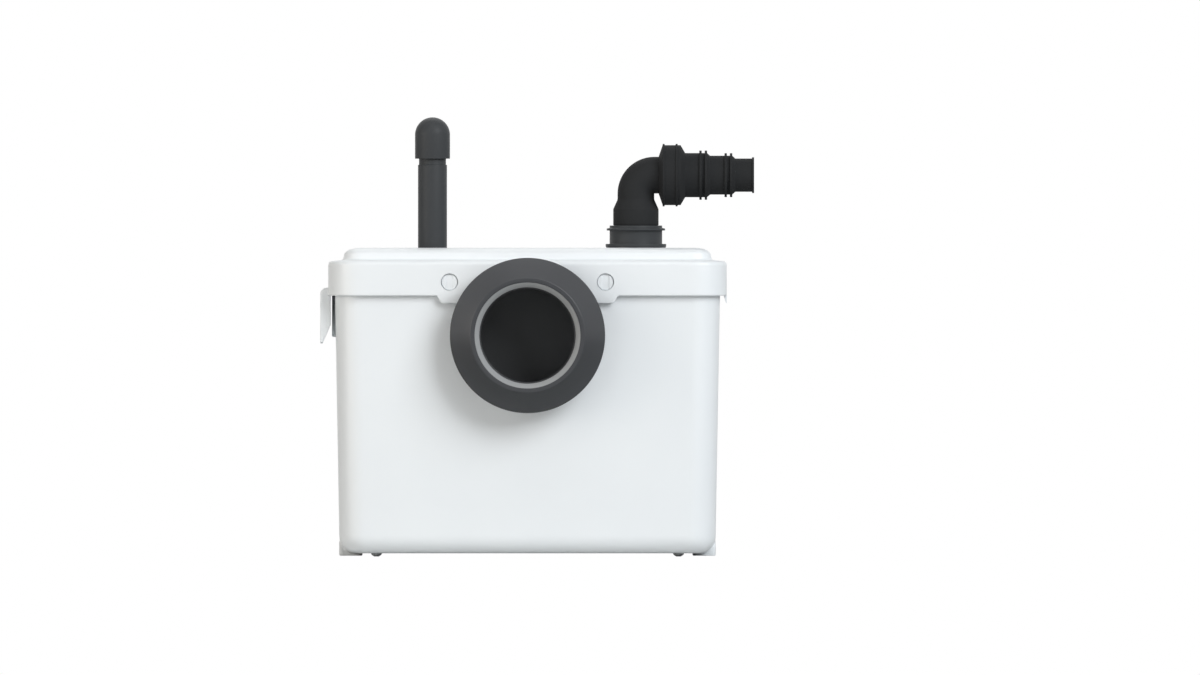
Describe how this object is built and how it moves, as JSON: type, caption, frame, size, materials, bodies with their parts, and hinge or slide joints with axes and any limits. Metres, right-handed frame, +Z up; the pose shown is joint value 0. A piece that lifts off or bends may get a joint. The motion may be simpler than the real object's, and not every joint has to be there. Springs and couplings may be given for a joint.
{
  "type": "macerator toilet pump",
  "caption": "Floor-standing tank with a rubber inlet collar, grinder basket, motor pump, lift-off lid, capped vent and swivelling discharge elbow that pumps away toilet waste.",
  "frame": {"origin": "on the floor under the middle of the tank, in the plane of its feet", "axes": "+Z up; -Y is the toilet side, along the inlet's bore; +X is the discharge side"},
  "size_m": [0.4339, 0.26, 0.4392],
  "materials": {
    "white_plastic": "satin",
    "black_plastic": "satin",
    "black_rubber": "matte",
    "grey_rubber": "matte",
    "steel": "brushed",
    "copper": "varnished",
    "laminated_iron": "raw",
    "beige_plastic": "matte",
    "charcoal_foam": "open foam"
  },
  "bodies": {
    "base": {"tank": "white_plastic", "tank_feet": "white_plastic", "inlet_collar": "black_rubber", "inlet_lip_seal": "grey_rubber", "inlet_hood": "black_plastic", "pump_casing": "black_plastic", "casing_cover": "black_plastic", "casing_screws": "steel", "grinder_basket": "black_plastic", "motor_deck": "white_plastic", "deck_screws": "steel", "shaft_seal": "black_rubber", "motor_can": "steel", "motor_screws": "steel", "motor_cap": "black_plastic", "cap_screws": "steel", "stator_core": "laminated_iron", "stator_windings": "copper", "lower_bearing": "steel", "upper_bearing": "steel", "capacitor": "steel", "capacitor_clip": "black_plastic", "terminal_box": "beige_plastic", "motor_lead": "black_rubber", "cable_gland": "black_plastic", "gland_nut": "black_plastic", "discharge_pipe": "black_plastic", "riser_seal": "black_rubber", "level_tube": "black_plastic", "switch_housing": "black_plastic", "switch_diaphragm": "black_rubber", "microswitch": "black_plastic", "switch_cover": "white_plastic", "switch_screws": "steel"},
    "lid": {"lid": "white_plastic", "lid_gasket": "grey_rubber", "vent_pipe": "black_plastic", "vent_seal": "black_rubber", "vent_nut": "black_plastic", "charcoal_filter": "charcoal_foam", "outlet_collar": "black_plastic", "collar_gasket": "black_rubber", "collar_nut": "black_plastic"},
    "left_lock": {"left_lid_lock": "white_plastic"},
    "right_lock": {"right_lid_lock": "white_plastic"},
    "vent_hood": {"vent_cap": "black_plastic"},
    "elbow": {"discharge_elbow": "black_plastic", "elbow_seal": "black_rubber", "outlet_adapter": "black_rubber", "valve_seat": "grey_rubber", "valve_pin": "steel"},
    "flap": {"valve_flap": "black_rubber"},
    "rotor": {"motor_shaft": "steel", "rotor_core": "laminated_iron", "macerator_blade": "steel", "impeller": "black_plastic", "impeller_nut": "steel"},
    "plunger": {"switch_plunger": "white_plastic"}
  },
  "joints": [
    {"name": "lid_lift", "type": "slide", "parent": "base", "child": "lid", "axis": [0, 0, 1], "range_m": [0, 0.12]},
    {"name": "left_lock_turn", "type": "hinge", "parent": "lid", "child": "left_lock", "pos_m": [-0.078, -0.0953, 0.2745], "axis": [0, 1, 0], "range_deg": [0, 90]},
    {"name": "right_lock_turn", "type": "hinge", "parent": "lid", "child": "right_lock", "pos_m": [0.078, -0.0953, 0.2745], "axis": [0, 1, 0], "range_deg": [0, 90]},
    {"name": "vent_cap_pull", "type": "slide", "parent": "lid", "child": "vent_hood", "axis": [0, 0, 1], "range_m": [0, 0.045]},
    {"name": "elbow_swivel", "type": "hinge", "parent": "lid", "child": "elbow", "pos_m": [0.1084, 0.032, 0.331], "axis": [0, 0, 1], "continuous": true},
    {"name": "flap_swing", "type": "hinge", "parent": "elbow", "child": "flap", "pos_m": [0.1427, 0.032, 0.40145], "axis": [0, -1, 0], "range_deg": [0, 50]},
    {"name": "motor_spin", "type": "hinge", "parent": "base", "child": "rotor", "pos_m": [-0.108, 0, 0.1], "axis": [0, 0, 1], "continuous": true},
    {"name": "switch_press", "type": "slide", "parent": "base", "child": "plunger", "axis": [0, 0, 1], "range_m": [0, 0.0015], "stiffness_N_per_m": 500}
  ]
}
